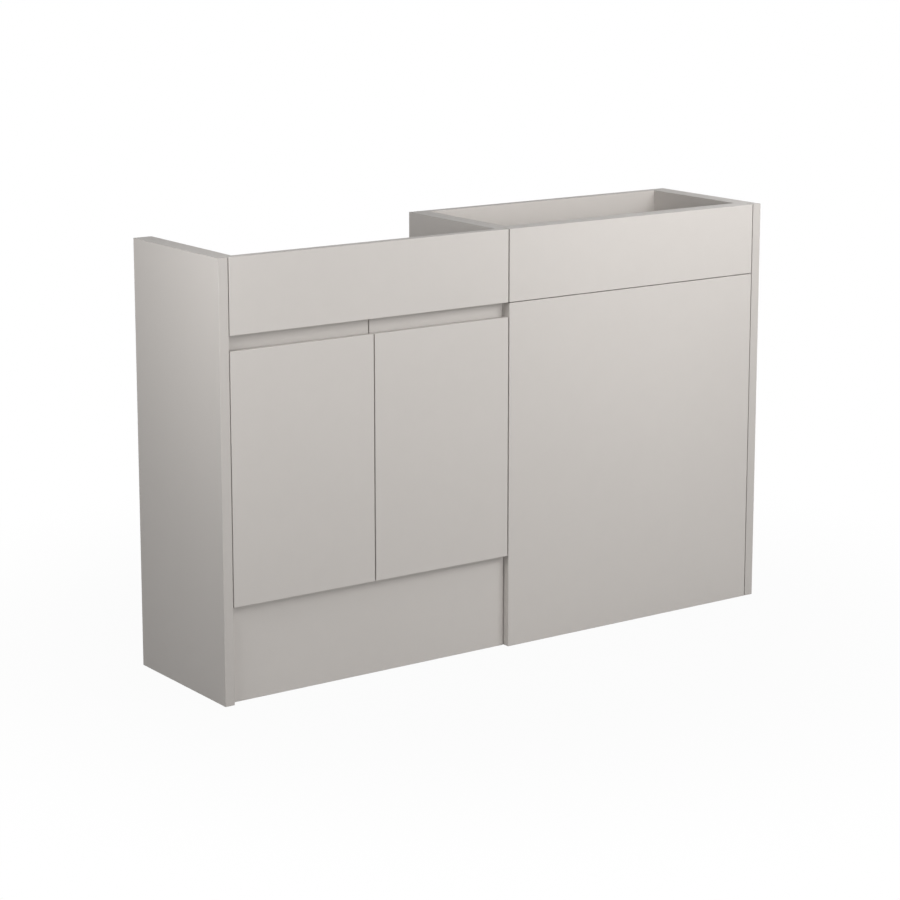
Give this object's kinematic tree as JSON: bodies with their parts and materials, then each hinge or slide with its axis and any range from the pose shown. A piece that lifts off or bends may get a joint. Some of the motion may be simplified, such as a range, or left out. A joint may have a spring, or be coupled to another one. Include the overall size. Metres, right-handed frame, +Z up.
{
  "type": "fitted basin and wc unit run",
  "caption": "Open-topped bathroom furniture run: basin unit with doors and finger slot, WC unit with access panel, end panels, recessed plinth.",
  "frame": {"origin": "on the floor, in the middle of the run's width and depth", "axes": "+X to the right seen from the front, +Y into the wall, +Z up; the fronts face -Y"},
  "size_m": [1.238, 0.3, 0.8],
  "materials": {
    "front_board": "matt light taupe-grey foil on board",
    "carcass_board": "matt light taupe-grey melamine on board",
    "zinc_steel": "bright zinc plate",
    "dark_plastic": "moulded, satin"
  },
  "bodies": {
    "cabinet": {"left_end_panel": "front_board", "right_end_panel": "front_board", "basin_side_left": "carcass_board", "basin_side_right": "carcass_board", "basin_base_panel": "carcass_board", "basin_front_rail": "carcass_board", "basin_rear_rail": "carcass_board", "basin_back_panel": "carcass_board", "basin_fascia": "front_board", "fascia_screws": "zinc_steel", "wc_side_left": "carcass_board", "wc_side_right": "carcass_board", "wc_front_top_rail": "carcass_board", "wc_mid_rail": "carcass_board", "wc_bottom_rail": "carcass_board", "wc_rear_top_rail": "carcass_board", "wc_rear_lower_rail": "carcass_board", "wc_front_panel": "front_board", "wc_panel_screws": "zinc_steel", "panel_clip_sockets": "dark_plastic", "leg_sockets": "dark_plastic", "leg_socket_screws": "zinc_steel", "unit_connector_bolts": "zinc_steel", "end_panel_screws": "zinc_steel", "cam_locks": "zinc_steel", "cam_bolts": "zinc_steel", "wall_brackets": "zinc_steel", "bracket_screws": "zinc_steel", "left_hinge_plates": "zinc_steel", "right_hinge_plates": "zinc_steel", "hinge_plate_screws": "zinc_steel", "left_hinge_arms": "zinc_steel", "right_hinge_arms": "zinc_steel", "hinge_arm_pins": "zinc_steel"},
    "left_door_links": {"left_hinge_links": "zinc_steel"},
    "right_door_links": {"right_hinge_links": "zinc_steel"},
    "left_door": {"left_door_panel": "front_board", "left_finger_strip": "front_board", "left_hinge_cups": "zinc_steel", "left_cup_pins": "zinc_steel", "left_door_screws": "zinc_steel", "left_door_bumpers": "dark_plastic"},
    "right_door": {"right_door_panel": "front_board", "right_finger_strip": "front_board", "right_hinge_cups": "zinc_steel", "right_cup_pins": "zinc_steel", "right_door_screws": "zinc_steel", "right_door_bumpers": "dark_plastic"},
    "access_panel": {"wc_access_panel": "front_board", "panel_clip_studs": "dark_plastic"},
    "plinth": {"plinth_board": "front_board", "plinth_clips": "dark_plastic"},
    "front_left_foot": {"foot_front_left": "dark_plastic"},
    "front_right_foot": {"foot_front_right": "dark_plastic"},
    "rear_left_foot": {"foot_rear_left": "dark_plastic"},
    "rear_right_foot": {"foot_rear_right": "dark_plastic"}
  },
  "joints": [
    {"name": "left_link_swing", "type": "hinge", "parent": "cabinet", "child": "left_door_links", "pos_m": [-0.5595, -0.116, 0.4], "axis": [0, 0, -1], "range_deg": [-33.4, 0]},
    {"name": "left_door_swing", "type": "hinge", "parent": "left_door_links", "child": "left_door", "pos_m": [-0.5865, -0.1365, 0.4], "axis": [0, 0, -1], "range_deg": [0, 128.25]},
    {"name": "right_link_swing", "type": "hinge", "parent": "cabinet", "child": "right_door_links", "pos_m": [-0.0398, -0.116, 0.4], "axis": [0, 0, 1], "range_deg": [-33.4, 0]},
    {"name": "right_door_swing", "type": "hinge", "parent": "right_door_links", "child": "right_door", "pos_m": [-0.0128, -0.1365, 0.4], "axis": [0, 0, 1], "range_deg": [0, 128.25]},
    {"name": "access_panel_pull", "type": "slide", "parent": "cabinet", "child": "access_panel", "axis": [0, -1, 0], "range_m": [0, 0.03]},
    {"name": "plinth_pull", "type": "slide", "parent": "cabinet", "child": "plinth", "axis": [0, -1, 0], "range_m": [0, 0.05]},
    {"name": "front_left_foot_height", "type": "slide", "parent": "cabinet", "child": "front_left_foot", "axis": [0, 0, 1], "range_m": [-0.015, 0.01]},
    {"name": "front_right_foot_height", "type": "slide", "parent": "cabinet", "child": "front_right_foot", "axis": [0, 0, 1], "range_m": [-0.015, 0.01]},
    {"name": "rear_left_foot_height", "type": "slide", "parent": "cabinet", "child": "rear_left_foot", "axis": [0, 0, 1], "range_m": [-0.015, 0.01]},
    {"name": "rear_right_foot_height", "type": "slide", "parent": "cabinet", "child": "rear_right_foot", "axis": [0, 0, 1], "range_m": [-0.015, 0.01]}
  ],
  "couplings": [
    {"joint": "left_link_swing", "follows": "left_door_swing", "ratio": -0.25926},
    {"joint": "right_link_swing", "follows": "right_door_swing", "ratio": -0.25926}
  ]
}
